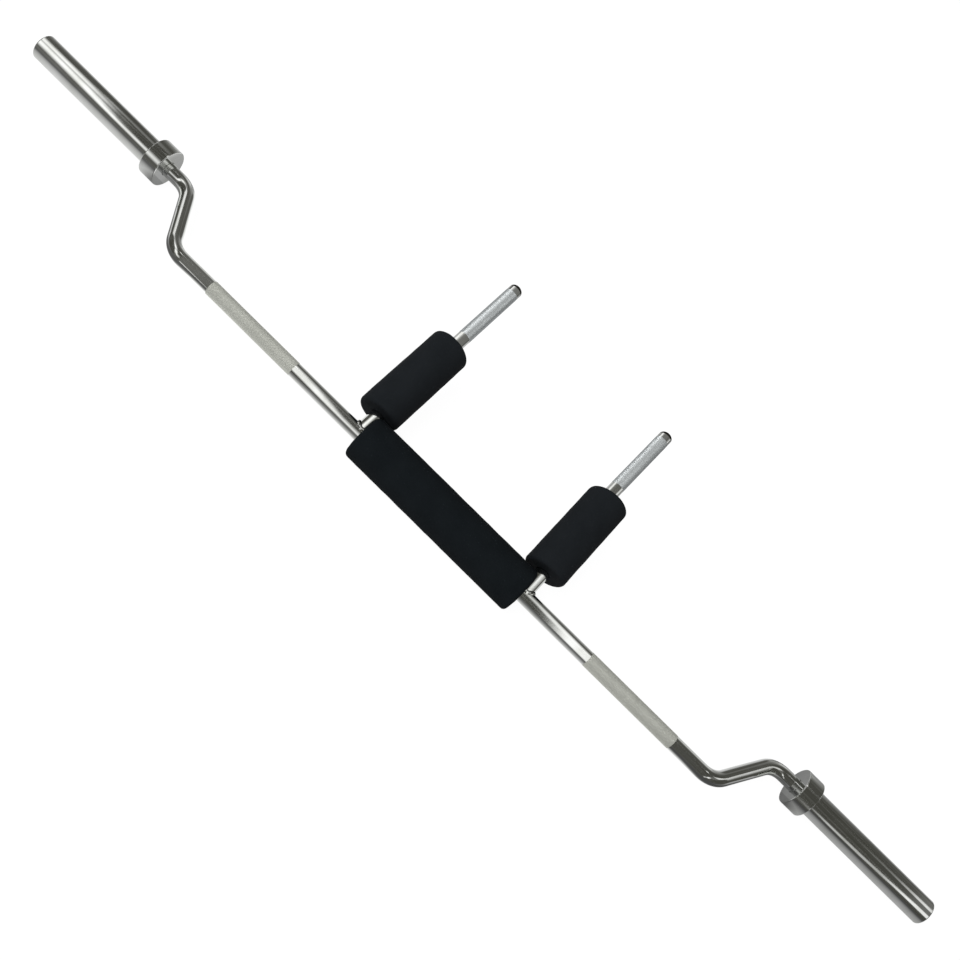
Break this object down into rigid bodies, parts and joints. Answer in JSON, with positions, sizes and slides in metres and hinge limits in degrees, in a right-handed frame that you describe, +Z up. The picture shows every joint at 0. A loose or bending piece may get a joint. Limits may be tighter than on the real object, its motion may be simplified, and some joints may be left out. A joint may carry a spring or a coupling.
{
  "type": "safety squat bar",
  "caption": "Chromed squat bar with a foam neck roll, padded handle arms that point forward, double-bent ends and turning plate sleeves.",
  "frame": {"origin": "on the floor under the middle of the bar's box, with the bar lying on its neck roll and its two collars", "axes": "+X along the bar to the lifter's right, +Y the way the handles point, +Z up"},
  "size_m": [2.2, 0.4612, 0.1719],
  "materials": {
    "polished_chrome": "polished",
    "knurled_chrome": "satin",
    "black_foam": "matte",
    "bronze": "satin",
    "turned_steel": "satin",
    "spring_steel": "satin"
  },
  "bodies": {
    "bar": {"shaft": "polished_chrome", "neck_pad": "black_foam", "left_arm_tube": "polished_chrome", "left_arm_weld": "polished_chrome", "left_grip_plug": "polished_chrome", "left_arm_pad": "black_foam", "right_arm_tube": "polished_chrome", "right_arm_weld": "polished_chrome", "right_grip_plug": "polished_chrome", "right_arm_pad": "black_foam", "left_thrust_washer": "turned_steel", "left_retaining_washer": "turned_steel", "left_snap_ring": "spring_steel", "right_thrust_washer": "turned_steel", "right_retaining_washer": "turned_steel", "right_snap_ring": "spring_steel"},
    "left_end": {"left_sleeve": "polished_chrome", "left_sleeve_collar": "polished_chrome", "left_inner_bushing": "bronze", "left_outer_bushing": "bronze", "left_end_cap": "turned_steel"},
    "right_end": {"right_sleeve": "polished_chrome", "right_sleeve_collar": "polished_chrome", "right_inner_bushing": "bronze", "right_outer_bushing": "bronze", "right_end_cap": "turned_steel"}
  },
  "joints": [
    {"name": "left_sleeve_spin", "type": "hinge", "parent": "bar", "child": "left_end", "pos_m": [-0.95, -0.06046, 0.03788], "axis": [1, 0, 0], "continuous": true},
    {"name": "right_sleeve_spin", "type": "hinge", "parent": "bar", "child": "right_end", "pos_m": [0.95, -0.06046, 0.03788], "axis": [1, 0, 0], "continuous": true}
  ]
}
